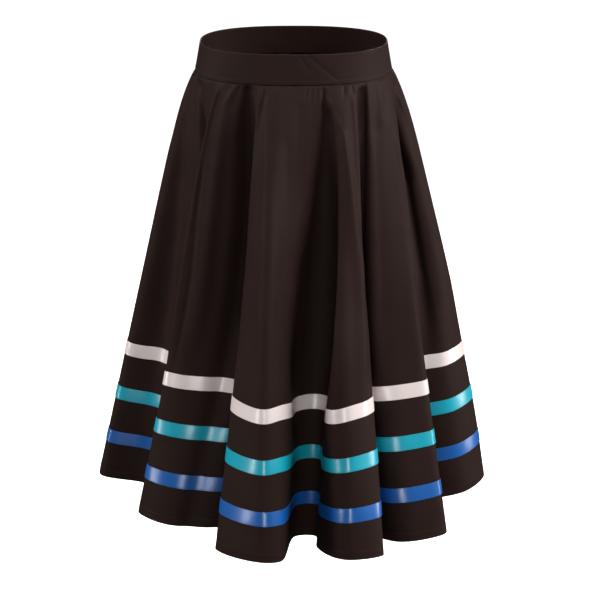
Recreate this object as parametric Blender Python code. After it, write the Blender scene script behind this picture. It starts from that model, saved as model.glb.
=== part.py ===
"""A flared circle-cut skirt on a waistband, with three satin ribbons sewn round
above the hem, filled out as it hangs on a waist.  Metres, +Z up, front at -Y.

The origin is the middle of the waist opening, half way up the waistband.  Every
panel point lies on a straight run of cloth from the waist seam to the hem.  The
runs are all as long as each other, as they are in a circle cut, so the hem rises
where a fold stands out and drops where a valley falls in.
"""
import math

import bpy
import numpy as np

# Waist
BAND_HEIGHT = 0.038
BAND_THICKNESS = 0.0018
BAND_TOP_HALF_WIDTH = 0.119
BAND_TOP_HALF_DEPTH = 0.090
WAIST_HALF_WIDTH = 0.126
WAIST_HALF_DEPTH = 0.094
WAIST_SQUARENESS = 2.4           # 2 is an ellipse, more is squarer
UNDERLAP = math.radians(14)      # how far the band's back end runs under its front end
LAP_RAMP = math.radians(12)      # stretch over which that end steps inward
BAND_ROWS = (1, 0.5, 0)          # shares of the band's height where its mesh has rows
BAND_COLUMNS = 100

# Skirt
SLANT = 0.595                    # waist seam to hem, along the cloth
CLOTH = 0.0012
HIP_SWELL = 0.085                # how far the hips push the cloth ahead of a straight flare
HIP_REACH = 0.06                 # share of the slant over which that swell grows
HIP_FADE = 0.9                   # power with which it dies away to the hem

# Trim
RIBBON_WIDTH = 0.019
RIBBON_THICKNESS = 0.0010
RIBBON_LOW_EDGES = {"blue": 0.048, "turquoise": 0.1155, "white": 0.182}   # up from the hem
SIDE_RISE = 0.006                # how much higher the ribbons ride at the sides
ZIP_LENGTH = 0.18
ZIP_WIDTH = 0.018
ZIP_THICKNESS = 0.0010
ZIP_GAP = 0.0005                 # behind the panels, whose facets turn a little there
ZIP_COLUMNS = 2                  # mesh columns each side of the seam
ZIP_ROWS = (0.03, 0.08, 0.16)    # shares of the slant where the mesh has rows beside the zip
MIDDLE_ROW = 0.46

GAP = 0.0003                     # between pieces, at seams and under trim
CREASE = math.radians(50)        # edges turned more than this are drawn sharp

# One row for each fold, going round from the wearer's right side past the front.
# Each fold has a valley with a flat floor, then the near and the far shoulder of the
# cloth that stands out.  Some have one more place between the shoulders, mid.
# waist is a place's bearing in degrees at the waist seam, out and reach are its
# bearing and its distance in millimetres at the hem; 0 degrees is the front.  early
# is how many millimetres further out than that the upper half heads: it makes a
# valley that deepens late or a fold that bellies out and then drops, and less than 0
# makes a fold that stands out late.  floor is in millimetres.
PLACE_COLUMNS = ("waist", "out", "reach", "early")
PLACES = (("valley", -0.5), ("floor", 0.5), ("near", 0), ("mid", 0), ("far", 0))   # shift, in floors
FOLDS = {
    "right_side": {"valley": (-110, -112, 205, 20), "floor": 24,
                   "near": (-99, -99.5, 268, 0), "mid": (-92, -92.5, 270, 0),
                   "far": (-77, -92, 212, 0)},
    "front_right": {"valley": (-57, -77, 152, 0), "floor": 12,
                    "near": (-50, -67, 226, -8), "mid": (-46, -60.5, 222, -30),
                    "far": (-39, -51.6, 201, -60)},
    "front_mid": {"valley": (-33, -28, 130, -30), "floor": 12,
                  "near": (-19.5, -27.3, 221, -15), "mid": (-11, -9, 255, 28),
                  "far": (-1, -4.2, 247, -5)},
    "front_left": {"valley": (21, 6, 143, 65), "floor": 26,
                   "near": (27, 9.4, 189, 92), "mid": (35, 16, 254, 30),
                   "far": (41.5, 27, 254, -15)},
    "left_front": {"valley": (48.5, 30, 162, 0), "floor": 12,
                   "near": (53, 38.8, 220, -35), "far": (67.5, 51, 256, -8)},
    "left_side": {"valley": (80, 73, 158, -20), "floor": 12,
                  "near": (86, 84, 238, 0), "far": (96, 94.5, 266, 16)},
    "back_left": {"valley": (104, 107, 186, 20), "floor": 18,
                  "near": (110, 116, 246, 0), "far": (122, 128, 240, 10)},
    "back_mid_left": {"valley": (132, 137, 146, 0), "floor": 14,
                      "near": (138, 140, 228, 0), "far": (150, 153, 256, 30)},
    "back_mid": {"valley": (161, 163, 154, 30), "floor": 20,
                 "near": (166, 167, 236, 0), "far": (179, 181, 260, -10)},
    "back_mid_right": {"valley": (190, 191, 146, 0), "floor": 14,
                       "near": (195, 195, 226, 10), "far": (208, 208, 250, 30)},
    "back_right": {"valley": (218, 217, 152, 10), "floor": 16,
                   "near": (223, 221, 232, 0), "far": (236, 234, 246, 0)},
}
STATION_COLUMNS = {"valley": 2, "floor": 4, "near": 4, "mid": 3, "far": 4}   # after each place
FLOOR_TURN = math.radians(0.12)        # a valley floor's turn at the waist, per mm of floor
EARLY_END = 0.5                        # share of the slant where early reaches start to fade
EARLY_FADE = 1.3                       # power with which they fade
ZIP_SEAM = ("left_front", "far")       # the side seam that opens
PLAIN_SEAM = ("right_side", "valley")  # the side seam opposite

# Colours, linear, with roughness
FINISHES = {
    "cloth": ((0.018, 0.013, 0.012), 0.85),
    "white": ((0.80, 0.76, 0.75), 0.35),
    "turquoise": ((0.02, 0.42, 0.48), 0.35),
    "blue": ((0.02, 0.11, 0.42), 0.35),
    "zip": ((0.012, 0.011, 0.011), 0.5),
}


def clear_scene():
    for item in list(bpy.data.objects):
        bpy.data.objects.remove(item, do_unlink=True)


def finish(name):
    """The Principled material of one cloth or trim."""
    colour, roughness = FINISHES[name]
    material = bpy.data.materials.new(name)
    material.use_nodes = True
    shader = material.node_tree.nodes["Principled BSDF"]
    shader.inputs["Base Color"].default_value = (*colour, 1)
    shader.inputs["Roughness"].default_value = roughness
    shader.inputs["Metallic"].default_value = 0
    return material


def waist_point(bearing, half_width, half_depth):
    """Points of the squarish oval of the waist, at bearings from the front."""
    across = np.abs(np.sin(bearing) / half_width) ** WAIST_SQUARENESS
    along = np.abs(np.cos(bearing) / half_depth) ** WAIST_SQUARENESS
    reach = (across + along) ** (-1 / WAIST_SQUARENESS)
    return np.stack([reach * np.sin(bearing), -reach * np.cos(bearing)], axis=-1)


def stations():
    """The table's places in order: name, waist bearing, hem x and y, and early x and y."""
    names = []
    values = []
    for fold, row in FOLDS.items():
        for place, across in PLACES:
            source = "valley" if place == "floor" else place
            if source not in row:
                continue
            sizes = dict(zip(PLACE_COLUMNS, row[source]))
            out = math.radians(sizes["out"])
            away = np.array([math.sin(out), -math.cos(out)])
            along = np.array([math.cos(out), math.sin(out)])
            hem = (away * sizes["reach"] + along * across * row["floor"]) / 1000
            waist = math.radians(sizes["waist"]) + across * row["floor"] * FLOOR_TURN
            names.append((fold, place))
            values.append(np.concatenate([[waist], hem, away * sizes["early"] / 1000]))
    return names, np.array(values)


def smooth_run(before, start, end, after, count):
    """count points of a centripetal Catmull-Rom curve from start, short of end."""
    knots = [0.0]
    for first, second in ((before, start), (start, end), (end, after)):
        knots.append(knots[-1] + math.sqrt(np.linalg.norm(second[1:3] - first[1:3])))
    place = np.linspace(knots[1], knots[2], count, endpoint=False)[:, None]

    def between(low, high, first, second):
        return ((high - place) * first + (place - low) * second) / (high - low)

    side_a = between(knots[0], knots[1], before, start)
    side_b = between(knots[1], knots[2], start, end)
    side_c = between(knots[2], knots[3], end, after)
    inner_a = between(knots[0], knots[2], side_a, side_b)
    inner_b = between(knots[1], knots[3], side_b, side_c)
    return between(knots[1], knots[2], inner_a, inner_b)


def columns_round():
    """Waist bearing, hem and early x and y of every column, and each station's column."""
    names, points = stations()
    turn = np.array([2 * math.pi, 0, 0, 0, 0])
    loop = np.concatenate([points[-1:] - turn, points, points[:2] + turn])
    runs = []
    column_of = {}
    for index, name in enumerate(names):
        column_of[name] = sum(len(run) for run in runs)
        runs.append(smooth_run(*loop[index:index + 4], STATION_COLUMNS[name[1]]))
    return np.concatenate(runs), column_of


def rows_round(columns):
    """Shares of the slant where the mesh has rows, for each column, and ribbons' rows."""
    rise = SIDE_RISE * np.sin(columns[:, 0]) ** 2
    rows = [(share, 0) for share in (0, *ZIP_ROWS, ZIP_LENGTH / SLANT, MIDDLE_ROW, 1)]
    edges = {}
    for name, low in RIBBON_LOW_EDGES.items():
        edges[name] = [(1 - (low + RIBBON_WIDTH) / SLANT, 1), (1 - low / SLANT, 1)]
        rows += edges[name]
    rows.sort()
    shares = np.array([share - rides * rise / SLANT for share, rides in rows])
    return shares, {name: [rows.index(edge) for edge in pair] for name, pair in edges.items()}


def skirt_points(columns, shares):
    """The outer face's points, a row for each share of the slant below the seam."""
    waist = waist_point(columns[:, 0], WAIST_HALF_WIDTH, WAIST_HALF_DEPTH)
    flare = columns[:, 1:3] - waist
    early = columns[:, 3:5]
    drop = np.sqrt(SLANT ** 2 - (flare ** 2).sum(axis=1))
    swell = HIP_SWELL * (1 - np.exp(-shares / HIP_REACH)) * (1 - shares) ** HIP_FADE
    fade = np.clip((shares - EARLY_END) / (1 - EARLY_END), 0, 1) ** EARLY_FADE
    flat = waist + flare * (shares + swell)[:, :, None] + early * (shares - fade)[:, :, None]
    height = -BAND_HEIGHT / 2 - drop * shares
    return np.concatenate([flat, height[:, :, None]], axis=2)


def outward(points):
    """Unit normals of a closed ring of rows, pointing away from the hollow."""
    round_step = np.roll(points, -1, axis=1) - np.roll(points, 1, axis=1)
    down_step = np.gradient(points, axis=0)
    normals = np.cross(down_step, round_step)
    return normals / np.linalg.norm(normals, axis=2, keepdims=True)


def wall(name, outer, inner, finish_name):
    """One closed solid between two grids of points, rows from top to bottom."""
    rows, across = outer.shape[:2]
    points = np.concatenate([outer.reshape(-1, 3), inner.reshape(-1, 3)])

    def out(row, column):
        return row * across + column

    def back(row, column):
        return rows * across + row * across + column

    faces = []
    for row in range(rows - 1):
        for column in range(across - 1):
            faces.append((out(row, column), out(row + 1, column),
                          out(row + 1, column + 1), out(row, column + 1)))
            faces.append((back(row, column), back(row, column + 1),
                          back(row + 1, column + 1), back(row + 1, column)))
    for column in range(across - 1):
        faces.append((out(0, column), out(0, column + 1),
                      back(0, column + 1), back(0, column)))
        faces.append((out(rows - 1, column), back(rows - 1, column),
                      back(rows - 1, column + 1), out(rows - 1, column + 1)))
    for row in range(rows - 1):
        faces.append((out(row, 0), back(row, 0), back(row + 1, 0), out(row + 1, 0)))
        faces.append((out(row, across - 1), out(row + 1, across - 1),
                      back(row + 1, across - 1), back(row, across - 1)))
    mesh = bpy.data.meshes.new(name)
    mesh.from_pydata([tuple(point) for point in points], [], faces)
    mesh.validate()
    mesh.update()
    mesh.shade_smooth()
    mesh.set_sharp_from_angle(angle=CREASE)
    piece = bpy.data.objects.new(name, mesh)
    bpy.context.scene.collection.objects.link(piece)
    mesh.materials.append(finish(finish_name))
    return piece


def between_seams(grid, first, last):
    """The columns from one seam to the next, each end half a gap short of its seam."""
    count = grid.shape[1]
    picked = [index % count for index in range(first, last + 1)]
    part = grid[:, picked].copy()
    for end, beside in ((0, 1), (-1, -2)):
        step = part[:, beside] - part[:, end]
        part[:, end] += step / np.linalg.norm(step, axis=1, keepdims=True) * GAP / 2
    return part


def panels_and_ribbons():
    """The two cloth panels and the three ribbons on each."""
    columns, column_of = columns_round()
    count = len(columns)
    shares, ribbon_rows = rows_round(columns)
    face = skirt_points(columns, shares)
    normals = outward(face)
    zip_column = column_of[ZIP_SEAM]
    plain_column = column_of[PLAIN_SEAM]
    sides = {"front": (plain_column, zip_column), "back": (zip_column, plain_column + count)}
    for side, (first, last) in sides.items():
        outer = between_seams(face, first, last)
        inner = between_seams(face - normals * CLOTH, first, last)
        wall("skirt_" + side, outer, inner, "cloth")
        for name, rows in ribbon_rows.items():
            near = between_seams(face + normals * GAP, first, last)[rows]
            far = between_seams(face + normals * (GAP + RIBBON_THICKNESS), first, last)[rows]
            wall("ribbon_%s_%s" % (name, side), far, near, name)


def waistband():
    """One strip round the waist, its back end lapped under its front end."""
    fold, place = ZIP_SEAM
    start = math.radians(FOLDS[fold][place][PLACE_COLUMNS.index("waist")])
    travel = np.linspace(0, 2 * math.pi + UNDERLAP, BAND_COLUMNS)
    before_lap = 2 * math.pi - travel
    ramp = np.clip(1 - before_lap / LAP_RAMP, 0, 1)
    step_in = (BAND_THICKNESS + GAP) * ramp ** 2 * (3 - 2 * ramp)
    bearing = (start - travel)[::-1]
    inward = step_in[::-1][:, None]
    outer_rows = []
    inner_rows = []
    for share in BAND_ROWS:
        half_width = WAIST_HALF_WIDTH + (BAND_TOP_HALF_WIDTH - WAIST_HALF_WIDTH) * share
        half_depth = WAIST_HALF_DEPTH + (BAND_TOP_HALF_DEPTH - WAIST_HALF_DEPTH) * share
        line = waist_point(bearing, half_width, half_depth)
        along = np.gradient(line, axis=0)
        away = np.stack([along[:, 1], -along[:, 0]], axis=1)
        away /= np.linalg.norm(away, axis=1, keepdims=True)
        height = np.full((len(line), 1), -BAND_HEIGHT / 2 + GAP + (BAND_HEIGHT - GAP) * share)
        outer_rows.append(np.hstack([line - away * inward, height]))
        inner_rows.append(np.hstack([line - away * (inward + BAND_THICKNESS), height]))
    wall("waistband", np.array(outer_rows), np.array(inner_rows), "cloth")


def zip_tape():
    """The closed zip, a strip behind the side seam that opens, on the panels' columns."""
    columns, column_of = columns_round()
    middle = column_of[ZIP_SEAM]
    near = slice(middle - ZIP_COLUMNS, middle + ZIP_COLUMNS + 1)
    shares = rows_round(columns)[0][:len(ZIP_ROWS) + 2]
    face = skirt_points(columns, shares)
    normals = outward(face)
    rows = {"outer": [], "inner": []}
    for points, away in zip(face[:, near], normals[:, near]):
        lengths = np.linalg.norm(np.diff(points, axis=0), axis=1)
        places = np.concatenate([[0], np.cumsum(lengths)])
        places -= places[ZIP_COLUMNS]
        wanted = np.clip(places, -ZIP_WIDTH / 2, ZIP_WIDTH / 2)
        for side, depth in (("outer", CLOTH + ZIP_GAP),
                            ("inner", CLOTH + ZIP_GAP + ZIP_THICKNESS)):
            line = points - away * depth
            rows[side].append([[np.interp(place, places, line[:, axis]) for axis in range(3)]
                               for place in wanted])
    wall("zip_tape", np.array(rows["outer"]), np.array(rows["inner"]), "zip")


def main():
    clear_scene()
    panels_and_ribbons()
    waistband()
    zip_tape()


main()
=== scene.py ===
import math

import bpy
import numpy as np
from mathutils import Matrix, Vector


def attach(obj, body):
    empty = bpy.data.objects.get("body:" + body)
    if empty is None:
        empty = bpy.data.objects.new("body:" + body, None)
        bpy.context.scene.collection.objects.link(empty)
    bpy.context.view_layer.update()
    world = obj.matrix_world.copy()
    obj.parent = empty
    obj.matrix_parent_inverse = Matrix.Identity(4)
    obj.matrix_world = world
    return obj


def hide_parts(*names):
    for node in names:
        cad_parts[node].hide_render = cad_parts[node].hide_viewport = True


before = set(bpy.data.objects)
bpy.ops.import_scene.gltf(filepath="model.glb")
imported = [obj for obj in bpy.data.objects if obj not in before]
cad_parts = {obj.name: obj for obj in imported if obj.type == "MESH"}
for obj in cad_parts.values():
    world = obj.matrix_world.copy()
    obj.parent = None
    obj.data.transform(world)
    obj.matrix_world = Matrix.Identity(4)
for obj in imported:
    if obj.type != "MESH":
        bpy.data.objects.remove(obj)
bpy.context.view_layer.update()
print("frame loaded")

millimetre = 0.001

# The skirt's form, in metres; bearings are degrees from the front towards +X, the wearer's left.
skirtForm = {
    "waistHalfWidth": 0.126,
    "waistHalfDepth": 0.094,
    "waistSquareness": 2.4,   # 2 is an ellipse, more is squarer
    "seamHeight": -0.019,     # waist seam
    "slant": 0.595,           # waist seam to hem along the cloth
    "hipSwell": 0.085,        # how far the hips push the cloth ahead of a straight flare
    "hipReach": 0.06,
    "hipFade": 0.9,
    "earlyEnd": 0.5,          # share of the slant where early reaches start to fade
    "earlyFade": 1.3,
    "floorTurn": 0.12,        # a valley floor's turn at the waist, degrees per mm of floor
    "clothThickness": 0.0007,
    "cutRadius": 0.193,       # inner radius of the circle cut
    "frontColumns": 520,
    "backColumns": 540,
}

# One row for each fold from the right side past the front: a valley with a flat floor, then the
# near and far shoulders of the cloth that stands out.  Each place is its bearing at the waist
# and at the hem, its reach at the hem in mm, and how many mm further out its upper half heads.
folds = {
    "rightSide": {"valley": (-110, -112, 205, 20), "floor": 24,
                  "near": (-99, -99.5, 268, 0), "mid": (-92, -92.5, 270, 0),
                  "far": (-77, -92, 212, 0)},
    "frontRight": {"valley": (-57, -77, 152, 0), "floor": 12,
                   "near": (-50, -67, 226, -8), "mid": (-46, -60.5, 222, -30),
                   "far": (-39, -51.6, 201, -60)},
    "frontMid": {"valley": (-33, -28, 130, -30), "floor": 12,
                 "near": (-19.5, -27.3, 221, -15), "mid": (-11, -9, 255, 28),
                 "far": (-1, -4.2, 247, -5)},
    "frontLeft": {"valley": (21, 6, 143, 65), "floor": 26,
                  "near": (27, 9.4, 189, 92), "mid": (35, 16, 254, 30),
                  "far": (41.5, 27, 254, -15)},
    "leftFront": {"valley": (48.5, 30, 162, 0), "floor": 12,
                  "near": (53, 38.8, 220, -35), "far": (67.5, 51, 256, -8)},
    "leftSide": {"valley": (80, 73, 158, -20), "floor": 12,
                 "near": (86, 84, 238, 0), "far": (96, 94.5, 266, 16)},
    "backLeft": {"valley": (104, 107, 186, 20), "floor": 18,
                 "near": (110, 116, 246, 0), "far": (122, 128, 240, 10)},
    "backMidLeft": {"valley": (132, 137, 146, 0), "floor": 14,
                    "near": (138, 140, 228, 0), "far": (150, 153, 256, 30)},
    "backMid": {"valley": (161, 163, 154, 30), "floor": 20,
                "near": (166, 167, 236, 0), "far": (179, 181, 260, -10)},
    "backMidRight": {"valley": (190, 191, 146, 0), "floor": 14,
                     "near": (195, 195, 226, 10), "far": (208, 208, 250, 30)},
    "backRight": {"valley": (218, 217, 152, 10), "floor": 16,
                  "near": (223, 221, 232, 0), "far": (236, 234, 246, 0)},
}
zipSeam = ("leftFront", "far")
plainSeam = ("rightSide", "valley")

# Soft troughs (height below 0) and ridges pressed into the cloth.  Each runs through two or more
# places, and a place is its bearing at the waist in degrees, then how far down it is, its width
# and its height, in mm.
creases = {
    # right hip and the side seam's edge
    "hipSeamDip": ((-97, 2, 5, -1.8), (-95, 120, 9, -1.2)),
    "hipGroove": ((-84, 0, 4, -2.6), (-82, 60, 7, -2), (-82, 230, 9, -1.4)),
    "hipRidge": ((-76, 0, 3, 1.6), (-74, 80, 5, 1.5), (-73, 240, 8, 1)),
    "hipDip": ((-70.5, 0, 3, -1.8), (-69, 90, 6, -0.8)),
    "hipEdge": ((-67.5, 4, 3, 1.8), (-63, 50, 5, 1.6), (-62, 120, 8, 1)),
    # between the first two folds
    "firstShade": ((-80, 60, 8, -3), (-77, 140, 15, -11), (-76.5, 250, 19, -14), (-76, 340, 19, -11),
                   (-75, 520, 16, -2)),
    "firstRim": ((-69, 110, 3, 1), (-70.5, 200, 3.5, 2.4), (-72, 300, 4, 2.4), (-72, 420, 4, 1)),
    "firstHollow": ((-69, 4, 5, -4), (-62, 46, 5, -7), (-57, 90, 5, -6), (-54, 190, 5, -2)),
    "secondRim": ((-50, 6, 2.6, 2.2), (-50.3, 150, 3, 2.8), (-50.5, 460, 4, 2.2)),
    "secondDip": ((-48.8, 110, 2.5, -1.4), (-47.5, 250, 3.5, -2), (-48, 440, 4, -1.4)),
    "secondSwell": ((-42, 8, 5, 1.5), (-43, 60, 8, 3), (-43.5, 160, 9, 3.5), (-45, 420, 11, 3)),
    "secondSlant": ((-40, 0, 2.5, 1.4), (-44.5, 36, 4, 0.8)),
    "secondSlantDip": ((-37, 0, 2.5, -1.6), (-42, 40, 5, -1)),
    # between the second and third folds
    "secondHollow": ((-32.5, 0, 6, -5), (-33, 60, 10, -11), (-33.5, 140, 13, -13), (-35, 230, 14, -11),
                     (-36.5, 330, 15, -9), (-37.5, 480, 16, -5), (-37.5, 900, 16, -2)),
    "thirdRim": ((-23, 2, 2.5, 1.8), (-22, 80, 4, 1.8), (-23, 240, 6, 1)),
    "thirdDip": ((-21, 3, 2.5, -1.2), (-19.5, 20, 3, -1.2), (-17, 44, 4, -0.8)),
    "thirdRidge": ((-17.5, 14, 4, 1.2), (-14, 110, 8, 2.6), (-12, 260, 13, 4.5), (-11, 480, 14, 3)),
    "thirdShade": ((-3, 60, 8, -1.4), (0, 180, 10, -2), (1, 360, 12, -2)),
    "middleDip": ((6, 20, 7, -1), (5, 190, 12, -1.3)),
    # small gathers at the band and the deep wedge beside the fourth fold
    "gatherOne": ((10.3, 1, 1.3, -0.7), (9.6, 18, 2, -0.4)),
    "gatherTwo": ((14, 1, 1.4, -0.9), (13.6, 22, 2.4, -0.5)),
    "gatherThree": ((17.8, 1, 1.4, -0.8), (18.2, 20, 2.2, -0.5)),
    "wedgeStart": ((21.5, 1, 2.4, -1.6), (23, 24, 4, -2.6), (25.5, 60, 7, -4)),
    "wedge": ((26, 22, 5, -3), (26, 60, 11, -12), (25.5, 120, 20, -24), (23.5, 220, 29, -31),
              (22, 340, 31, -27), (20, 520, 25, -4)),
    "wedgeLip": ((23.5, 10, 2.2, 1.4), (29, 32, 3, 2.2), (33.5, 60, 4, 1.8)),
    "wedgeEdge": ((34, 54, 4, 2.4), (36.5, 110, 6, 4), (38.5, 220, 10, 7), (38.5, 340, 12, 6),
                  (38, 480, 13, 2)),
    "tuckOne": ((35.9, 0, 1.5, -1.4), (35.2, 16, 2.4, -0.6)),
    "tuckKnot": ((38.2, 1, 2, 1.2), (38.2, 11, 3, 0.8)),
    "tuckTwo": ((41, 0, 1.5, -1.5), (41.6, 18, 2.6, -0.7)),
    "fourthRidge": ((40.5, 14, 3, 1.4), (40.2, 120, 4, 2), (40, 240, 6, 1.6)),
    # between the fourth and fifth folds
    "fourthHollow": ((47.5, 4, 4.5, -4), (45, 70, 6, -8), (42.5, 200, 7, -6), (41.5, 330, 7, -2)),
    "fifthRim": ((51.2, 0, 2.5, 1.8), (51, 60, 5, 3), (51, 150, 8, 5), (51.5, 270, 10, 6), (52, 460, 12, 4)),
    "fifthDip": ((57, 3, 4, -1.1), (55.5, 50, 6, -1), (55, 120, 8, -0.5)),
    # crumpled cloth beside the zip, and the shaded wedge below it
    "zipCrumpleOne": ((77, 2, 2.2, -2.2), (81, 18, 3.2, -1.6)),
    "zipCrumpleTwo": ((72, 6, 2.4, 1.6), (76, 30, 3.6, 1.4)),
    "zipCrumpleThree": ((85, 12, 2.4, -1.8), (79, 30, 3, -2.4), (76, 52, 4, -1.4)),
    "zipCrumpleFour": ((63.5, 12, 3, -1.6), (61, 54, 5, -1)),
    "zipPull": ((88, 3, 2.4, 1.8), (86, 34, 4, 1.2)),
    "fifthSwell": ((54, 60, 12, 2), (54.5, 200, 22, 7), (55, 780, 28, 9)),
    "fifthWedge": ((72, 30, 5, -4), (80, 76, 9, -10), (84, 150, 14, -15), (84.5, 270, 17, -17),
                   (83, 480, 16, -4)),
    "fifthWedgeEdge": ((66, 70, 4, 1.4), (68, 112, 4, 2), (69.5, 160, 5, 1.8), (70, 280, 7, 1)),
    "sixthRim": ((83.5, 30, 3, 1.8), (91, 116, 4, 1.8), (93.5, 280, 6, 1.6)),
    "sixthHollow": ((92, 10, 5, -1.6), (92, 200, 9, -1.4)),
    # behind
    "backHollowOne": ((105, 0, 5, -4), (107, 90, 9, -4.5), (107, 230, 12, -2)),
    "backRimOne": ((110.5, 4, 3, 1.6), (111.5, 210, 5, 1.6)),
    "backSlantOne": ((116, 6, 3, -1.6), (121, 70, 6, -1.2)),
    "backTuckOne": ((126, 0, 1.6, -1.2), (125.4, 26, 3, -0.7)),
    "backHollowTwo": ((131, 0, 4, -3.5), (134, 70, 8, -5), (136, 220, 11, -2.5)),
    "backRimTwo": ((137.5, 10, 3, 1.8), (139.5, 90, 4, 2), (139, 280, 6, 1.4)),
    "backRidgeTwo": ((146, 30, 5, 1.2), (147.5, 260, 9, 1.4)),
    "backTuckTwo": ((152.4, 0, 1.4, -1), (153, 20, 2.4, -0.6)),
    "backTuckThree": ((156.5, 1, 1.5, -1.1), (156, 24, 2.6, -0.5)),
    "backHollowThree": ((159, 0, 4, -3), (162, 60, 8, -5.5), (163, 240, 12, -3)),
    "backRimThree": ((165.5, 16, 2.5, 2), (168, 70, 4, 2), (168, 250, 6, 1.2)),
    "backShadeThree": ((173, 40, 6, -1.2), (174.5, 280, 11, -1.4)),
    "backRidgeThree": ((180.5, 10, 4, 1.4), (181, 190, 7, 1.2)),
    "backHollowFour": ((189, 0, 5, -4.5), (191.5, 110, 9, -4), (191, 260, 12, -2)),
    "backRimFour": ((195.5, 3, 3, 1.7), (196.5, 160, 5, 1.5)),
    "backSlantFour": ((203, 0, 2.5, -1.5), (198.6, 52, 5, -1.1)),
    "backTuckFour": ((211, 0, 1.5, -1), (211.6, 17, 2.2, -0.6)),
    "backHollowFive": ((216, 0, 4, -4), (218.5, 80, 8, -4.5), (218, 200, 11, -2)),
    "backRimFive": ((223, 8, 3, 1.8), (224.6, 80, 4, 1.8), (225, 260, 6, 1.2)),
    "backDipFive": ((230, 4, 4, -1.3), (229, 130, 8, -1.1)),
    "backTuckFive": ((238, 1, 1.6, -1.1), (237.2, 23, 2.8, -0.5)),
    "backHollowSix": ((248, 0, 5, -3.6), (249.5, 170, 10, -2)),
    # the two side seams, drawn in a little by their sewing
    "plainSeamGroove": ((-111.4, 0, 1.8, -0.6), (-111.4, 1000, 1.8, -0.6)),
    "zipSeamGroove": ((67.5, 0, 1.8, -0.6), (67.5, 1000, 1.8, -0.6)),
}
creaseEnds = {
    "early": 0.001,           # metres above its first place where a crease starts
    "start": 0.007,           # metres over which it comes in
    "tail": 0.4,              # share of its length over which it dies away
}


def smooth(share):
    share = np.clip(share, 0, 1)
    return share * share * (3 - 2 * share)


def waistLine(bearings, halfWidth, halfDepth):  # a squarish oval, bearings in radians
    power = skirtForm["waistSquareness"]
    across = np.abs(np.sin(bearings) / halfWidth) ** power
    along = np.abs(np.cos(bearings) / halfDepth) ** power
    reach = (across + along) ** (-1 / power)
    return np.stack([reach * np.sin(bearings), -reach * np.cos(bearings)], axis=-1)


def foldPlaces():  # each place's name, and its waist bearing, hem x and y, early x and y
    names = []
    values = []
    for fold, row in folds.items():
        for place, across in (("valley", -0.5), ("floor", 0.5), ("near", 0), ("mid", 0), ("far", 0)):
            if place not in row:
                continue
            bearing, out, reach, early = row["valley" if place == "floor" else place]
            out = math.radians(out)
            away = np.array([math.sin(out), -math.cos(out)])
            along = np.array([math.cos(out), math.sin(out)])
            hem = (away * reach + along * across * row["floor"]) * millimetre
            turn = across * row["floor"] * skirtForm["floorTurn"]
            names.append((fold, place))
            values.append([math.radians(bearing + turn), *hem, *(away * early * millimetre)])
    return names, np.array(values)


def curveBetween(before, start, end, after, count):  # centripetal Catmull-Rom, short of end
    knots = [0.0]
    for first, second in ((before, start), (start, end), (end, after)):
        knots.append(knots[-1] + math.sqrt(np.linalg.norm(second[1:3] - first[1:3])))
    place = np.linspace(knots[1], knots[2], count, endpoint=False)[:, None]

    def between(low, high, first, second):
        return ((high - place) * first + (place - low) * second) / (high - low)

    sideA = between(knots[0], knots[1], before, start)
    sideB = between(knots[1], knots[2], start, end)
    sideC = between(knots[2], knots[3], end, after)
    return between(knots[1], knots[2], between(knots[0], knots[2], sideA, sideB),
                   between(knots[1], knots[3], sideB, sideC))


def columnsRound(frontCount, backCount):  # evenly spaced at the hem, starting at the plain seam
    perPlace = 40
    names, places = foldPlaces()
    turn = np.array([2 * math.pi, 0, 0, 0, 0])
    loop = np.concatenate([places[-1:] - turn, places, places[:2] + turn])
    runs = [curveBetween(*loop[index:index + 4], perPlace) for index in range(len(places))]
    first = names.index(plainSeam) * perPlace
    second = names.index(zipSeam) * perPlace
    dense = np.concatenate(runs)
    dense = np.concatenate([dense[first:], dense[:first + 1] + turn])
    steps = np.linalg.norm(np.diff(dense[:, 1:3], axis=0), axis=1)
    travel = np.concatenate([[0], np.cumsum(steps)])
    meet = travel[second - first]
    wanted = np.concatenate([np.linspace(0, meet, frontCount, endpoint=False),
                             np.linspace(meet, travel[-1], backCount, endpoint=False)])
    return np.stack([np.interp(wanted, travel, dense[:, k]) for k in range(5)], axis=1), wanted


def plainCloth(columns, downs):  # the outer face, a row of points for each distance down
    form = skirtForm
    shares = downs / form["slant"]
    waist = waistLine(columns[:, 0], form["waistHalfWidth"], form["waistHalfDepth"])
    flare = columns[:, 1:3] - waist
    early = columns[:, 3:5]
    drop = np.sqrt(form["slant"] ** 2 - (flare ** 2).sum(axis=1))
    swell = form["hipSwell"] * (1 - np.exp(-shares / form["hipReach"]))
    swell = swell * (1 - shares) ** form["hipFade"]
    fade = np.clip((shares - form["earlyEnd"]) / (1 - form["earlyEnd"]), 0, 1) ** form["earlyFade"]
    flat = waist + flare * (shares + swell)[:, :, None] + early * (shares - fade)[:, :, None]
    height = form["seamHeight"] - drop * shares
    return np.concatenate([flat, height[:, :, None]], axis=2)


def outward(points):  # unit normals of a closed ring of rows
    roundStep = np.roll(points, -1, axis=1) - np.roll(points, 1, axis=1)
    downStep = np.gradient(points, axis=0)
    normals = np.cross(downStep, roundStep)
    return normals / np.linalg.norm(normals, axis=2, keepdims=True)


def uneven(place, spacing, seed, period):  # smooth seeded waves from -1 to 1 along a loop
    count = max(3, round(period / spacing))
    values = np.random.default_rng(seed).uniform(-1, 1, count)
    scaled = place / period * count
    low = np.floor(scaled).astype(int)
    share = smooth(scaled - low)
    return values[low % count] * (1 - share) + values[(low + 1) % count] * share


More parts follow.
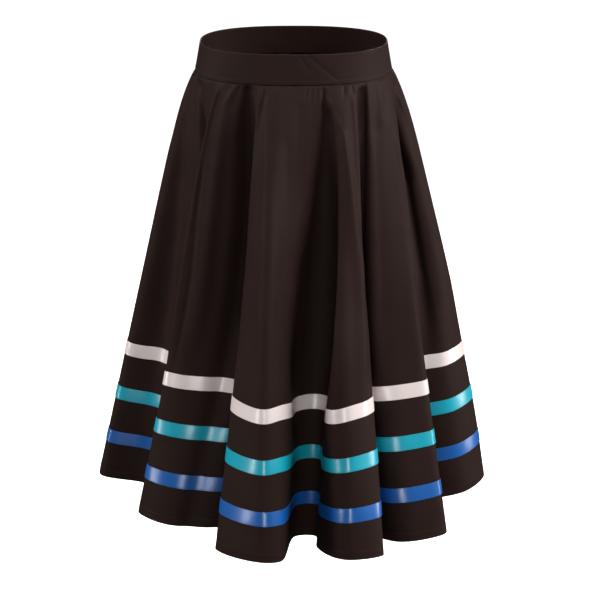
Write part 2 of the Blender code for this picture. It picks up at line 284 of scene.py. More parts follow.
def creaseHeights(columns, downs, lengths, turn):  # metres along the normal, for each point
    heights = np.zeros(downs.shape)
    bearings = np.degrees(columns[:, 0])
    numbers = np.arange(len(bearings))
    for places in creases.values():
        middles, stations, widths, rises = np.array(places, float).T
        stations = stations * millimetre
        first, last = stations[0], stations[-1]
        tail = creaseEnds["tail"] * (last - first)
        fade = smooth((downs - first + creaseEnds["early"]) / creaseEnds["start"])
        fade = fade * (1 - smooth((downs - last + tail) / tail))
        for row in np.flatnonzero((fade > 0.001).any(axis=1)):
            middle = np.interp(downs[row], stations, middles)
            width = np.interp(downs[row], stations, widths) * millimetre
            height = np.interp(downs[row], stations, rises) * millimetre
            middle = bearings[0] + (middle - bearings[0]) % 360
            place = np.interp(np.interp(middle, bearings, numbers), numbers, lengths[row])
            away = (lengths[row] - place + turn[row] / 2) % turn[row] - turn[row] / 2
            heights[row] += height * fade[row] * np.exp(-(away / width) ** 2)
    return heights


clothDetail = {
    "waistTuck": 0.9,        # mm the cloth turns in at the waist seam
    "waistPucker": 0.45,     # mm, dies away over 10 mm
    "hemPucker": 0.3,        # mm either way beside the hem's stitching
    "hemStitchUp": 11,       # mm above the hem's edge
    "hemWander": 1.3,        # mm the hem's edge wanders in and out
    "softness": 0.5,         # mm of slow unevenness everywhere
}


def creasedCloth(columns, downs):  # the outer face with all its creases, and its normals
    plain = plainCloth(columns, downs)
    normals = outward(plain)
    steps = np.linalg.norm(np.roll(plain, -1, axis=1) - plain, axis=2)
    lengths = np.concatenate([np.zeros((len(plain), 1)), np.cumsum(steps, axis=1)[:, :-1]], axis=1)
    turn = steps.sum(axis=1)
    heights = creaseHeights(columns, downs, lengths, turn)
    detail = {name: value * millimetre for name, value in clothDetail.items()}
    waistPlace = columns[:, 0] / (2 * math.pi)
    fromHem = skirtForm["slant"] - downs
    heights -= detail["waistTuck"] * np.exp(-(downs / 0.0016) ** 2)
    heights += detail["waistPucker"] * uneven(waistPlace, 0.011, 3, 1) * np.exp(-downs / 0.010)
    hemPlace = columns[:, 5]
    besideHem = np.exp(-((fromHem - detail["hemStitchUp"]) / 0.006) ** 2)
    heights += detail["hemPucker"] * uneven(hemPlace, 0.013, 5, columns[0, 6]) * besideHem
    heights += detail["hemWander"] * uneven(hemPlace, 0.05, 7, columns[0, 6]) * smooth(1 - fromHem / 0.09)
    slow = uneven(hemPlace, 0.11, 11, columns[0, 6]) * np.sin(downs * 19 + 1.0)
    slow += uneven(hemPlace, 0.08, 12, columns[0, 6]) * np.sin(downs * 31 + 2.3)
    heights += detail["softness"] * slow * smooth(downs / 0.05)
    creased = plain + normals * heights[:, :, None]
    return creased, outward(creased)


def ringColumns(frontCount, backCount):  # with each column's place along the hem beside it
    columns, travel = columnsRound(frontCount, backCount)
    closing = columns[0, 1:3] - columns[-1, 1:3]
    whole = travel[-1] + np.linalg.norm(closing)
    extra = np.stack([travel, np.full(len(travel), whole)], axis=1)
    return np.concatenate([columns, extra], axis=1)


def gridFaces(rows, across, start, flipped):
    row, column = np.meshgrid(np.arange(rows - 1), np.arange(across - 1), indexing="ij")
    corner = start + row * across + column
    faces = np.stack([corner, corner + across, corner + across + 1, corner + 1], axis=-1)
    faces = faces.reshape(-1, 4)
    return faces[:, ::-1] if flipped else faces


def shellPiece(name, outer, inner, cut, material):
    # one closed skin between two grids; cut holds each point's place on the flat cloth
    rows, across = outer.shape[:2]
    size = rows * across
    points = np.concatenate([outer.reshape(-1, 3), inner.reshape(-1, 3)])
    numbers = np.arange(size).reshape(rows, across)
    rim = np.concatenate([numbers[0, ::-1], numbers[1:, 0], numbers[-1, 1:], numbers[-2:0:-1, -1]])
    rimNext = np.roll(rim, -1)
    rimFaces = np.stack([rim, rim + size, rimNext + size, rimNext], axis=1)
    faces = np.concatenate([gridFaces(rows, across, 0, False),
                            gridFaces(rows, across, size, True), rimFaces])
    mesh = bpy.data.meshes.new(name)
    mesh.from_pydata(points.tolist(), [], faces.tolist())
    layer = mesh.uv_layers.new(name="cut")
    flat = np.concatenate([cut.reshape(-1, 2)] * 2)
    corners = np.empty(len(mesh.loops), int)
    mesh.loops.foreach_get("vertex_index", corners)
    layer.data.foreach_set("uv", flat[corners].astype(np.float32).ravel())
    mesh.shade_smooth()
    mesh.set_sharp_from_angle(angle=math.radians(60))
    mesh.materials.append(material)
    piece = bpy.data.objects.new(name, mesh)
    bpy.context.scene.collection.objects.link(piece)
    return piece


def joinedPiece(name, points, faces, material):  # many small closed things in one mesh
    mesh = bpy.data.meshes.new(name)
    mesh.from_pydata(points.tolist(), [], faces.tolist())
    mesh.shade_smooth()
    mesh.set_sharp_from_angle(angle=math.radians(60))
    mesh.materials.append(material)
    piece = bpy.data.objects.new(name, mesh)
    bpy.context.scene.collection.objects.link(piece)
    return piece


def stitchRow(line, normals, size):
    # short threads along a line on the cloth; size has pitch, length, width and rise in mm
    steps = np.linalg.norm(np.diff(line, axis=0), axis=1)
    travel = np.concatenate([[0], np.cumsum(steps)])
    pitch, length, width, rise = (size[key] * millimetre for key in ("pitch", "length", "width", "rise"))
    middles = np.arange(pitch / 2, travel[-1], pitch)

    def at(places, values):
        return np.stack([np.interp(places, travel, values[:, axis]) for axis in range(3)], axis=1)

    rings = []
    for along, thick, lift in ((-0.5, 0.35, -0.5), (-0.25, 1, 0.9), (0.25, 1, 0.9), (0.5, 0.35, -0.5)):
        centre = at(middles + along * length, line)
        away = at(middles, normals)
        ahead = at(middles + length / 2, line) - at(middles - length / 2, line)
        side = np.cross(away, ahead)
        side /= np.linalg.norm(side, axis=1, keepdims=True)
        centre = centre + away * rise * lift
        for turned in range(4):
            angle = turned * math.pi / 2 + math.pi / 4
            offset = side * math.cos(angle) * width + away * math.sin(angle) * rise
            rings.append(centre + offset * thick * 0.7)
    points = np.stack(rings, axis=1).reshape(-1, 3)
    faces = [(0, 1, 2, 3), (15, 14, 13, 12)]
    for ring in (0, 4, 8):
        for turned in range(4):
            follow = (turned + 1) % 4
            faces.append((ring + turned, ring + turned + 4, ring + follow + 4, ring + follow))
    faces = np.array(faces)[None] + 16 * np.arange(len(middles))[:, None, None]
    return points, faces.reshape(-1, 4)


def stitches(name, rows, size, material):
    points = []
    faces = []
    count = 0
    for line, normals in rows:
        rowPoints, rowFaces = stitchRow(line, normals, size)
        points.append(rowPoints)
        faces.append(rowFaces + count)
        count += len(rowPoints)
    return joinedPiece(name, np.concatenate(points), np.concatenate(faces), material)


def toLinear(hexColour):
    values = [int(hexColour[start:start + 2], 16) / 255 for start in (1, 3, 5)]
    linear = [v / 12.92 if v <= 0.04045 else ((v + 0.055) / 1.055) ** 2.4 for v in values]
    return (*linear, 1)


def addNode(material, kind, settings, links):
    node = material.node_tree.nodes.new(kind)
    for name, value in settings.items():
        if isinstance(name, int) or name in node.inputs:
            node.inputs[name].default_value = value
        else:
            setattr(node, name, value)
    for name, source in links.items():
        material.node_tree.links.new(source, node.inputs[name])
    return node


def newMaterial(name, settings):
    material = bpy.data.materials.new(name)
    material.use_nodes = True
    shader = material.node_tree.nodes["Principled BSDF"]
    for key, value in settings.items():
        shader.inputs[key].default_value = value
    return material, shader


def waveScale(pitch):  # Blender's bands repeat every pi / 10 at scale 1
    return math.pi / 10 / (pitch * millimetre)


poplin = {
    "threadPitch": 0.9,       # mm; really 0.3, drawn coarser so that it shows
    "dark": "#211512",
    "light": "#2a1c18",
    "patch": 0.05,            # m, size of the slow change of tone
    "roughness": 0.62,
    "specular": 0.085,
    "sheen": 0.006,
}


def wovenPoplin():
    # Polyester-cotton poplin, plain woven and piece-dyed black: matt, slightly warm, with a
    # faint bloom where it turns away and threads that only just break up the surface.
    material, shader = newMaterial("wovenPoplin", {
        "Roughness": poplin["roughness"], "IOR": 1.5, "Specular IOR Level": poplin["specular"],
        "Sheen Weight": poplin["sheen"], "Sheen Roughness": 0.45,
        "Sheen Tint": toLinear("#e6cdc6")})
    cut = addNode(material, "ShaderNodeUVMap", {"uv_map": "cut"}, {})
    wander = addNode(material, "ShaderNodeTexNoise", {"Scale": 1 / poplin["patch"], "Detail": 3.0},
                     {"Vector": cut.outputs["UV"]})
    tone = addNode(material, "ShaderNodeMix", {"data_type": "RGBA", 6: toLinear(poplin["dark"]),
                                               7: toLinear(poplin["light"])},
                   {0: wander.outputs["Fac"]})
    material.node_tree.links.new(tone.outputs[2], shader.inputs["Base Color"])
    pitch = waveScale(poplin["threadPitch"])
    warp = addNode(material, "ShaderNodeTexWave", {"bands_direction": "X", "Scale": pitch,
                                                   "Distortion": 0.6, "Detail Scale": 0.3},
                   {"Vector": cut.outputs["UV"]})
    weft = addNode(material, "ShaderNodeTexWave", {"bands_direction": "Y", "Scale": pitch,
                                                   "Distortion": 0.6, "Detail Scale": 0.3},
                   {"Vector": cut.outputs["UV"]})
    threads = addNode(material, "ShaderNodeMath", {"operation": "MULTIPLY"},
                      {0: warp.outputs["Fac"], 1: weft.outputs["Fac"]})
    bump = addNode(material, "ShaderNodeBump", {"Strength": 0.35, "Distance": 0.0002},
                   {"Height": threads.outputs[0]})
    material.node_tree.links.new(bump.outputs["Normal"], shader.inputs["Normal"])
    return material


satin = {
    "threadPitch": 0.45,      # mm across the ribbon; really 0.15, drawn coarser
    "roughness": 0.34,
    "specular": 1.0,
    "anisotropic": 0.5,
    "colours": {"white": ("#e9ddd9", "#decfca"), "turquoise": ("#0ba7bd", "#0399ad"),
                "blue": ("#0f60ad", "#0b539f")},
}


def ribbonSatin(colour):
    # Polyester satin ribbon, its long floats running lengthwise: smooth and glossy, its light
    # drawn out into streaks across the ribbon, with fine lines along it.
    light, dark = satin["colours"][colour]
    material, shader = newMaterial(colour + "Satin", {
        "Roughness": satin["roughness"], "IOR": 1.55, "Specular IOR Level": satin["specular"],
        "Anisotropic": satin["anisotropic"], "Anisotropic Rotation": 0.25})
    cut = addNode(material, "ShaderNodeUVMap", {"uv_map": "cut"}, {})
    along = addNode(material, "ShaderNodeTangent", {"direction_type": "UV_MAP", "uv_map": "cut"}, {})
    material.node_tree.links.new(along.outputs["Tangent"], shader.inputs["Tangent"])
    stretched = addNode(material, "ShaderNodeMapping", {"Scale": (25, 1200, 1)},
                        {"Vector": cut.outputs["UV"]})
    floats = addNode(material, "ShaderNodeTexNoise", {"Scale": 1.0, "Detail": 2.0},
                     {"Vector": stretched.outputs["Vector"]})
    tone = addNode(material, "ShaderNodeMix", {"data_type": "RGBA", 6: toLinear(dark),
                                               7: toLinear(light)},
                   {0: floats.outputs["Fac"]})
    material.node_tree.links.new(tone.outputs[2], shader.inputs["Base Color"])
    lines = addNode(material, "ShaderNodeTexWave", {"bands_direction": "Y",
                                                    "Scale": waveScale(satin["threadPitch"]),
                                                    "Distortion": 0.4},
                    {"Vector": cut.outputs["UV"]})
    bump = addNode(material, "ShaderNodeBump", {"Strength": 0.12, "Distance": 0.0001},
                   {"Height": lines.outputs["Fac"]})
    material.node_tree.links.new(bump.outputs["Normal"], shader.inputs["Normal"])
    return material


def spunThread(name, colour):
    # Spun polyester sewing thread: a dull twisted yarn, a little glossier than the cloth.
    material, shader = newMaterial(name, {"Roughness": 0.55, "IOR": 1.5, "Sheen Weight": 0.1})
    fuzz = addNode(material, "ShaderNodeTexNoise", {"Scale": 1500.0, "Detail": 2.0}, {})
    tone = addNode(material, "ShaderNodeMix", {"data_type": "RGBA", 6: toLinear(colour[0]),
                                               7: toLinear(colour[1])},
                   {0: fuzz.outputs["Fac"]})
    material.node_tree.links.new(tone.outputs[2], shader.inputs["Base Color"])
    return material


def wovenTape():
    # Woven polyester zip tape, dyed black: ribbed along its length, flatter and cooler than poplin.
    material, shader = newMaterial("wovenTape", {"Roughness": 0.6, "IOR": 1.5, "Sheen Weight": 0.1})
    cut = addNode(material, "ShaderNodeUVMap", {"uv_map": "cut"}, {})
    ribs = addNode(material, "ShaderNodeTexWave", {"bands_direction": "X", "Scale": waveScale(0.8),
                                                   "Distortion": 0.3},
                   {"Vector": cut.outputs["UV"]})
    tone = addNode(material, "ShaderNodeMix", {"data_type": "RGBA", 6: toLinear("#141213"),
                                               7: toLinear("#211e1f")},
                   {0: ribs.outputs["Fac"]})
    material.node_tree.links.new(tone.outputs[2], shader.inputs["Base Color"])
    bump = addNode(material, "ShaderNodeBump", {"Strength": 0.4, "Distance": 0.0002},
                   {"Height": ribs.outputs["Fac"]})
    material.node_tree.links.new(bump.outputs["Normal"], shader.inputs["Normal"])
    return material


def nylonCoil():
    # Extruded nylon filament wound into the zip's coil: smooth and dark with small highlights.
    material, shader = newMaterial("nylonCoil", {"Roughness": 0.32, "IOR": 1.53})
    speck = addNode(material, "ShaderNodeTexNoise", {"Scale": 900.0}, {})
    tone = addNode(material, "ShaderNodeMix", {"data_type": "RGBA", 6: toLinear("#121011"),
                                               7: toLinear("#1c191a")},
                   {0: speck.outputs["Fac"]})
    material.node_tree.links.new(tone.outputs[2], shader.inputs["Base Color"])
    return material


clothBlack = wovenPoplin()
threadBlack = spunThread("blackThread", ("#130e0d", "#1d1614"))
ribbonCloths = {colour: ribbonSatin(colour) for colour in satin["colours"]}
ribbonThreads = {"white": spunThread("whiteThread", ("#d8cfcc", "#ece6e4")),
                 "turquoise": spunThread("turquoiseThread", ("#0b7f8a", "#1699a3")),
                 "blue": spunThread("blueThread", ("#164a94", "#2462b4"))}
print("materials made")


def clothRows():  # distances down, from inside the band to the hem
    slant = skirtForm["slant"]
    top = np.array([-3, -1.5, 0, 0.8, 1.6, 2.6, 4, 6, 8.5]) * millimetre
    hip = np.arange(12, 60, 4) * millimetre
    foot = slant - np.array([20, 16, 13.5, 12, 11, 10, 8, 5, 2.5, 0.8, 0]) * millimetre
    middle = np.linspace(0.060, foot[0], 58)[:-1]
    return np.concatenate([top, hip, middle, foot])


def cutPlaces(columns, downs):  # where each point lay on the flat circle cut, in metres
    radius = skirtForm["cutRadius"] + downs
    angle = columns[:, 5] / (skirtForm["cutRadius"] + skirtForm["slant"])
    return np.stack([radius * np.sin(angle), -radius * np.cos(angle)], axis=-1)


def fromSeamToSeam(grid, first, last, gap):  # the columns of one panel, just short of its seams
    count = grid.shape[1]
    part = grid[:, [index % count for index in range(first, last + 1)]].copy()
    if gap:
        for end, beside in ((0, 1), (-1, -2)):
            step = part[:, beside] - part[:, end]
            part[:, end] += step / np.linalg.norm(step, axis=1, keepdims=True) * gap
    return part


seamGap = 0.00002             # metres, at each end of a panel or ribbon
stitchSizes = {
    "ribbon": {"pitch": 2.6, "length": 2.0, "width": 0.28, "rise": 0.16},
    "hem": {"pitch": 3.0, "length": 2.3, "width": 0.30, "rise": 0.14},
    "band": {"pitch": 2.8, "length": 2.2, "width": 0.32, "rise": 0.18},
}


def ringOfCloth():
    form = skirtForm
    columns = ringColumns(form["frontColumns"], form["backColumns"])
    downs = clothRows()[:, None] * np.ones((1, len(columns)))
    outer, normals = creasedCloth(columns, downs)
    sides = {"front": (0, form["frontColumns"]),
             "back": (form["frontColumns"], form["frontColumns"] + form["backColumns"])}
    return columns, downs, outer, normals, sides


ring = ringOfCloth()


def clothPanels():
    columns, downs, outer, normals, sides = ring
    inner = outer - normals * skirtForm["clothThickness"]
    cut = cutPlaces(columns, downs)
    pieces = {}
    for side, (first, last) in sides.items():
        pieces[side] = shellPiece(side + "Panel", fromSeamToSeam(outer, first, last, seamGap),
                                  fromSeamToSeam(inner, first, last, seamGap),
                                  fromSeamToSeam(cut, first, last, 0), clothBlack)
        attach(pieces[side], "root")
        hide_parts("skirt_" + side)
    return pieces


hemMake = {
    "depth": 0.012,
    "near": 0.0002,           # its faces, behind the cloth's inner face
    "far": 0.0008,
}


def hemTurnings():  # the hem turned up inside, and the stitching that holds it
    columns, downs, outer, normals, sides = ring
    slant = skirtForm["slant"]
    rows = np.flatnonzero(downs[:, 0] > slant - hemMake["depth"] - 1e-6)
    near = (outer - normals * (skirtForm["clothThickness"] + hemMake["near"]))[rows]
    far = (outer - normals * (skirtForm["clothThickness"] + hemMake["far"]))[rows]
    cut = cutPlaces(columns, downs)[rows]
    stitchDown = slant - clothDetail["hemStitchUp"] * millimetre
    stitchRowNumber = np.argmin(np.abs(downs[:, 0] - stitchDown))
    pieces = {}
    for side, (first, last) in sides.items():
        turning = shellPiece(side + "HemTurning", fromSeamToSeam(near, first, last, seamGap),
                             fromSeamToSeam(far, first, last, seamGap),
                             fromSeamToSeam(cut, first, last, 0), clothBlack)
        line = fromSeamToSeam(outer, first, last, 0)[stitchRowNumber]
        away = fromSeamToSeam(normals, first, last, 0)[stitchRowNumber]
        row = stitches(side + "HemStitching", [(line, away)], stitchSizes["hem"], threadBlack)
        for piece in (turning, row):
            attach(piece, "root")
        pieces[side] = [turning, row]
    return pieces


panels = clothPanels()
hems = hemTurnings()
print("panels and hems made")


ribbonMakes = {
    "width": 0.019,
    "thickness": 0.00025,
    "lift": 0.00015,          # off the cloth at its edges
    "crown": 0.00018,         # more in its middle
    "sideRise": 0.006,        # how much higher it rides at the sides
    "lowEdges": {"blue": 0.048, "turquoise": 0.1155, "white": 0.182},   # up from the hem
    "frontColumns": 760,
    "backColumns": 840,
    "pucker": 0.00012,        # how far the sewing draws it in and out
    "lengths": {"blue": (1.174, 1.535), "turquoise": (1.056, 1.391), "white": (0.947, 1.251)},
}


def ribbons():
    make = ribbonMakes
    columns = ringColumns(make["frontColumns"], make["backColumns"])
    across = np.array([0, 0.02, 0.065, 0.16, 0.33, 0.5, 0.67, 0.84, 0.935, 0.98, 1])  # 0 is the top
    sides = {"front": (0, make["frontColumns"]),
             "back": (make["frontColumns"], make["frontColumns"] + make["backColumns"])}
    for number, (colour, low) in enumerate(make["lowEdges"].items()):
        rise = make["sideRise"] * np.sin(columns[:, 0]) ** 2
        downs = skirtForm["slant"] - low - make["width"] * (1 - across[:, None]) - rise
        face, normals = creasedCloth(columns, downs)
        middle = face[len(across) // 2]
        steps = np.linalg.norm(np.roll(middle, -1, axis=0) - middle, axis=1)
        travel = np.concatenate([[0], np.cumsum(steps)[:-1]])
        whole = steps.sum()
        crown = make["crown"] * (1 - (2 * across - 1) ** 4)[:, None]
        near = 1 - np.abs(across * 2 - 1)[:, None]
        puckers = uneven(travel, 0.016, 21 + number, whole) * (1 - near)
        puckers = puckers + uneven(travel, 0.03, 31 + number, whole) * near
        lift = make["lift"] + crown + make["pucker"] * (1 + puckers)
        outer = face + normals * (lift + make["thickness"])[:, :, None]
        inner = face + normals * (make["lift"] * np.ones(lift.shape))[:, :, None]
        outerNormals = outward(outer)
        cut = np.stack([np.broadcast_to(travel, downs.shape),
                        np.broadcast_to(-across[:, None] * make["width"], downs.shape)], axis=-1)
        for sideNumber, (side, (first, last)) in enumerate(sides.items()):
            name = side + colour.capitalize() + "Ribbon"
            piece = shellPiece(name, fromSeamToSeam(outer, first, last, seamGap),
                               fromSeamToSeam(inner, first, last, seamGap),
                               fromSeamToSeam(cut, first, last, 0), ribbonCloths[colour])
            rows = []
            for place in (2, -3):
                rows.append((fromSeamToSeam(outer, first, last, 0)[place],
                             fromSeamToSeam(outerNormals, first, last, 0)[place]))
            sewing = stitches(name + "Stitching", rows, stitchSizes["ribbon"], ribbonThreads[colour])
            for part in (piece, sewing):
                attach(part, "root")
            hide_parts("ribbon_%s_%s" % (colour, side))
        print(colour, "ribbon made")


ribbons()


bandMake = {
    "height": 0.038,
    "topHalfWidth": 0.119,
    "topHalfDepth": 0.090,
    "thickness": 0.0018,
    "clear": 0.0003,          # above the waist seam
    "underlap": 14,           # degrees that the back end runs under the front end
    "lapRamp": 12,
    "start": 67.5,            # bearing of its front end
    "lapGap": 0.0003,
    "stitchUp": 0.0045,
    "pucker": 0.00025,        # beside the stitching
    "wave": 0.0003,           # slow unevenness up its height
    "stitchDip": 0.00012,
    "arcRadius": 0.11,        # turns a bearing into a length along the band
    "puckerLoop": 0.76,       # length over which the unevenness repeats
    "columns": 420,
    "flat": (0.75, 0.038),
}
# bearing in degrees and up from the seam in mm, from one end to the other; width and height in mm
bandCreases = {
    "slantOne": {"bearing": (5, 12), "up": (36, 18), "width": 1.6, "height": -0.7},
    "slantTwo": {"bearing": (12, 32), "up": (36, 6), "width": 1.6, "height": -0.8},
}


def bandSurface(bearings, ups):
    make = bandMake
    share = ups / make["height"]
    halfWidth = skirtForm["waistHalfWidth"] * (1 - share) + make["topHalfWidth"] * share
    halfDepth = skirtForm["waistHalfDepth"] * (1 - share) + make["topHalfDepth"] * share
    flat = waistLine(bearings, halfWidth, halfDepth)
    height = skirtForm["seamHeight"] + ups
    return np.concatenate([flat, height[:, :, None]], axis=2)


def bandNormals(points):
    along = np.gradient(points, axis=1)
    up = np.gradient(points, axis=0)
    normals = np.cross(along, up)
    return normals / np.linalg.norm(normals, axis=2, keepdims=True)


def waistband():
    make = bandMake
    travel = np.linspace(0, 2 * math.pi + math.radians(make["underlap"]), make["columns"])
    ramp = np.clip(1 - (2 * math.pi - travel) / math.radians(make["lapRamp"]), 0, 1)
    inward = ((make["thickness"] + make["lapGap"]) * ramp ** 2 * (3 - 2 * ramp))[::-1]
    bearing = (math.radians(make["start"]) - travel)[::-1]
    low, high = make["clear"], make["height"]
    ups = np.concatenate([[low, low + 0.0004, low + 0.0012], np.linspace(0.003, 0.0355, 15),
                          [high - 0.0011, high - 0.0004, high]])
    roundIn = np.zeros(len(ups))
    roundIn[[0, 1, -2, -1]] = [0.0005, 0.00015, 0.00018, 0.0006]
    ups = ups[:, None] * np.ones((1, len(bearing)))
    plain = bandSurface(bearing[None, :] * np.ones(ups.shape), ups)
    normals = bandNormals(plain)
    degrees = np.degrees(bearing)
    heights = np.zeros(ups.shape)
    for crease in bandCreases.values():
        start = np.array([crease["bearing"][0] * 2.0, crease["up"][0]])   # about 2 mm a degree
        end = np.array([crease["bearing"][1] * 2.0, crease["up"][1]])
        place = np.stack([degrees[None, :] * 2.0 + 0 * ups, ups / millimetre], axis=-1) - start
        run = end - start
        share = np.clip((place @ run) / (run @ run), 0, 1)
        away = np.linalg.norm(place - share[:, :, None] * run, axis=2)
        heights += crease["height"] * millimetre * np.exp(-(away / crease["width"]) ** 2)
    arc = bearing * make["arcRadius"]
    fromStitch = ups - make["stitchUp"]
    puckers = uneven(arc, 0.014, 41, make["puckerLoop"])
    waves = uneven(arc, 0.05, 43, make["puckerLoop"])
    heights += make["pucker"] * puckers * np.exp(-(fromStitch / 0.005) ** 2)
    heights += make["wave"] * waves * np.sin(ups / make["height"] * math.pi)
    heights -= make["stitchDip"] * np.exp(-(fromStitch / 0.0012) ** 2)
    outer = plain + normals * (heights - inward[None, :] - roundIn[:, None])[:, :, None]
    thickness = make["thickness"] - 2 * roundIn
    inner = plain + normals * (heights * 0.5 - inward[None, :] - roundIn[:, None]
                               - thickness[:, None])[:, :, None]
    cut = np.stack([arc[None, :] + 0 * ups, ups], axis=-1)
    band = shellPiece("foldedWaistband", outer[::-1], inner[::-1], cut[::-1], clothBlack)
    seen = bearing > math.radians(make["start"]) - 2 * math.pi
    row = np.argmin(np.abs(ups[:, 0] - make["stitchUp"]))
    outerNormals = bandNormals(outer)
    sewing = stitches("waistbandTopstitching", [(outer[row][seen], outerNormals[row][seen])],
                      stitchSizes["band"], threadBlack)
    for piece in (band, sewing):
        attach(piece, "root")
    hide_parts("waistband")
    return band


band = waistband()
print("waistband made")


zipMake = {
    "length": 0.18,
    "width": 0.018,
    "behind": 0.0009,         # from the cloth's outer face
    "thickness": 0.0004,
    "reach": 9,               # cloth columns on each side of the seam that it follows
    "toothPitch": 0.0014,
    "toothWidth": 0.0032,
    "toothRise": 0.0009,
}


def concealedZip():
    columns, downs, outer, normals, sides = ring
    make = zipMake
    middle = sides["front"][1]
    reach = make["reach"]
    near = slice(middle - reach, middle + reach + 1)
    rows = np.flatnonzero(downs[:, 0] <= make["length"])
    grids = {"front": [], "back": [], "cut": []}
    wanted = np.linspace(-1, 1, 9) * make["width"] / 2
    for row in rows:
        points = outer[row, near]
        away = normals[row, near]
        steps = np.linalg.norm(np.diff(points, axis=0), axis=1)
        places = np.concatenate([[0], np.cumsum(steps)])
        places -= places[reach]
        held = np.clip(wanted, places[0], places[-1])
        for side, depth in (("front", make["behind"]), ("back", make["behind"] + make["thickness"])):
            line = points - away * depth
            grids[side].append(np.stack([np.interp(held, places, line[:, axis]) for axis in range(3)],
                                        axis=1))
        grids["cut"].append(np.stack([held, -np.full(len(held), downs[row, 0])], axis=1))
    tape = shellPiece("zipTape", np.array(grids["front"]), np.array(grids["back"]),
                      np.array(grids["cut"]), wovenTape())
    spine = np.array(grids["back"])[:, 4]
    edge = np.array(grids["back"])[:, 5]
    coil = zipCoil(spine, edge - spine, normals[rows, middle])
    for piece in (tape, coil):
        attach(piece, "root")
    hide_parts("zip_tape")


def zipCoil(spine, sideways, away):  # a closed row of teeth on the tape's inner face
    make = zipMake
    steps = np.linalg.norm(np.diff(spine, axis=0), axis=1)
    travel = np.concatenate([[0], np.cumsum(steps)])
    places = np.arange(make["toothPitch"], travel[-1] - make["toothPitch"], make["toothPitch"])

    def at(values):
        return np.stack([np.interp(places, travel, values[:, axis]) for axis in range(3)], axis=1)

    centre = at(spine)
    across = at(sideways)
    across /= np.linalg.norm(across, axis=1, keepdims=True)
    outwards = at(away)
    down = np.cross(outwards, across)
    points = []
    for share in (-1, -0.6, 0.6, 1):
        thick = 0.45 if abs(share) == 1 else 1
        for downShare, depth in ((-0.36, 0.05), (-0.22, 1), (0.22, 1), (0.36, 0.05)):
            points.append(centre + across * share * make["toothWidth"] / 2
                          + down * downShare * make["toothPitch"] * thick
                          - outwards * depth * make["toothRise"] * thick)
    points = np.stack(points, axis=1).reshape(-1, 3)
    faces = [(0, 3, 2, 1), (12, 13, 14, 15)]
    for ringStart in (0, 4, 8):
        for corner in range(4):
            follow = (corner + 1) % 4
            faces.append((ringStart + corner, ringStart + follow, ringStart + follow + 4,
                          ringStart + corner + 4))
    faces = np.array(faces)[None] + 16 * np.arange(len(places))[:, None, None]
    return joinedPiece("zipCoil", points, faces.reshape(-1, 4), nylonCoil())


concealedZip()
print("zip made")


studio = {
    "aim": (0.008, 0.0, -0.3329),
    "distance": 2.4,
    "elevation": 20,
    "lens": 107.75,
    "floor": -1.05,
    "floorSize": 40,
    "skyLight": 0.045,
    "backdrop": 1.0,          # brightness of the air and floor behind the skirt
}
# bearing from the front towards the wearer's left, elevation, distance, size, power
studioLights = {
    "leftSoftbox": {"bearing": -82, "elevation": 34, "distance": 2.4, "size": (1.2, 1.0), "power": 42},
    "rightSoftbox": {"bearing": 74, "elevation": 34, "distance": 2.4, "size": (1.2, 1.0), "power": 72},
    "overhead": {"bearing": 20, "elevation": 60, "distance": 2.4, "size": (0.8, 0.8), "power": 13},
    "backSoftbox": {"bearing": 172, "elevation": 34, "distance": 2.4, "size": (1.2, 1.0), "power": 30},
    "leftStrip": {"bearing": -68, "elevation": -7, "distance": 2.4, "size": (0.25, 0.5), "power": 9},
    "frontStrip": {"bearing": -4, "elevation": -4, "distance": 2.4, "size": (0.5, 0.35), "power": 11},
    "rightStrip": {"bearing": 90, "elevation": -7, "distance": 2.4, "size": (0.25, 0.5), "power": 12},
}


def around(bearing, elevation, distance):
    bearing, elevation = math.radians(bearing), math.radians(elevation)
    return np.array([math.sin(bearing) * math.cos(elevation), -math.cos(bearing) * math.cos(elevation),
                     math.sin(elevation)]) * distance


def lookAt(item, place, target):
    item.location = Vector(place)
    item.rotation_mode = "QUATERNION"
    item.rotation_quaternion = (Vector(target) - Vector(place)).to_track_quat("-Z", "Y")


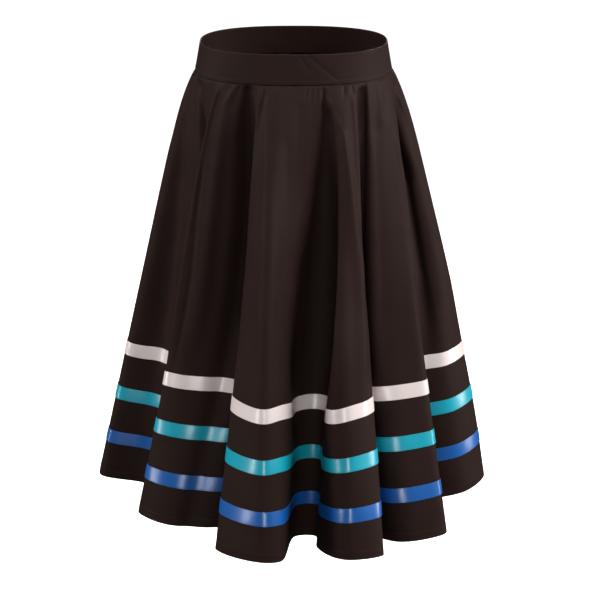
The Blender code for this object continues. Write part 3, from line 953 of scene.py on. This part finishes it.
def paintedFloor():
    # Matt white painted board: flat and even, so that it only holds soft shadows.
    material, shader = newMaterial("paintedFloor", {"Roughness": 0.9, "Specular IOR Level": 0.0,
                                                    "Emission Strength": studio["backdrop"]})
    grain = addNode(material, "ShaderNodeTexNoise", {"Scale": 3.0}, {})
    tone = addNode(material, "ShaderNodeMix", {"data_type": "RGBA", 6: toLinear("#f4f3f2"),
                                               7: toLinear("#f8f7f6")},
                   {0: grain.outputs["Fac"]})
    material.node_tree.links.new(tone.outputs[2], shader.inputs["Base Color"])
    shader.inputs["Emission Color"].default_value = (1, 1, 1, 1)
    return material


def makeStudio():
    scene = bpy.context.scene
    aim = np.array(studio["aim"])
    lens = bpy.data.cameras.new("camera")
    lens.lens = studio["lens"]
    lens.sensor_width = 36
    camera = bpy.data.objects.new("camera", lens)
    scene.collection.objects.link(camera)
    lookAt(camera, aim + around(0, studio["elevation"], studio["distance"]), aim)
    scene.camera = camera
    for name, light in studioLights.items():
        lamp = bpy.data.lights.new(name, "AREA")
        lamp.shape = "RECTANGLE"
        lamp.size, lamp.size_y = light["size"]
        lamp.energy = light["power"]
        item = bpy.data.objects.new(name, lamp)
        scene.collection.objects.link(item)
        lookAt(item, aim + around(light["bearing"], light["elevation"], light["distance"]), aim)
    half = studio["floorSize"] / 2
    mesh = bpy.data.meshes.new("floor")
    mesh.from_pydata([(-half, -half, 0), (half, -half, 0), (half, half, 0), (-half, half, 0)], [],
                     [(0, 1, 2, 3)])
    mesh.materials.append(paintedFloor())
    floor = bpy.data.objects.new("floor", mesh)
    scene.collection.objects.link(floor)
    floor.location.z = studio["floor"]
    floor.visible_diffuse = False     # it throws no light up into the folds
    floor.visible_glossy = False
    world = bpy.data.worlds.new("studioAir")
    world.use_nodes = True
    scene.world = world
    sky = world.node_tree.nodes["Background"]
    sky.inputs["Color"].default_value = (1, 1, 1, 1)
    # what is seen behind the skirt is bright, and what reaches its folds is dim
    seen = addNode(world, "ShaderNodeLightPath", {}, {})
    strength = addNode(world, "ShaderNodeMix", {2: studio["skyLight"], 3: studio["backdrop"]},
                       {0: seen.outputs["Is Camera Ray"]})
    world.node_tree.links.new(strength.outputs[0], sky.inputs["Strength"])
    scene.view_settings.view_transform = "Standard"


makeStudio()
print("studio made")
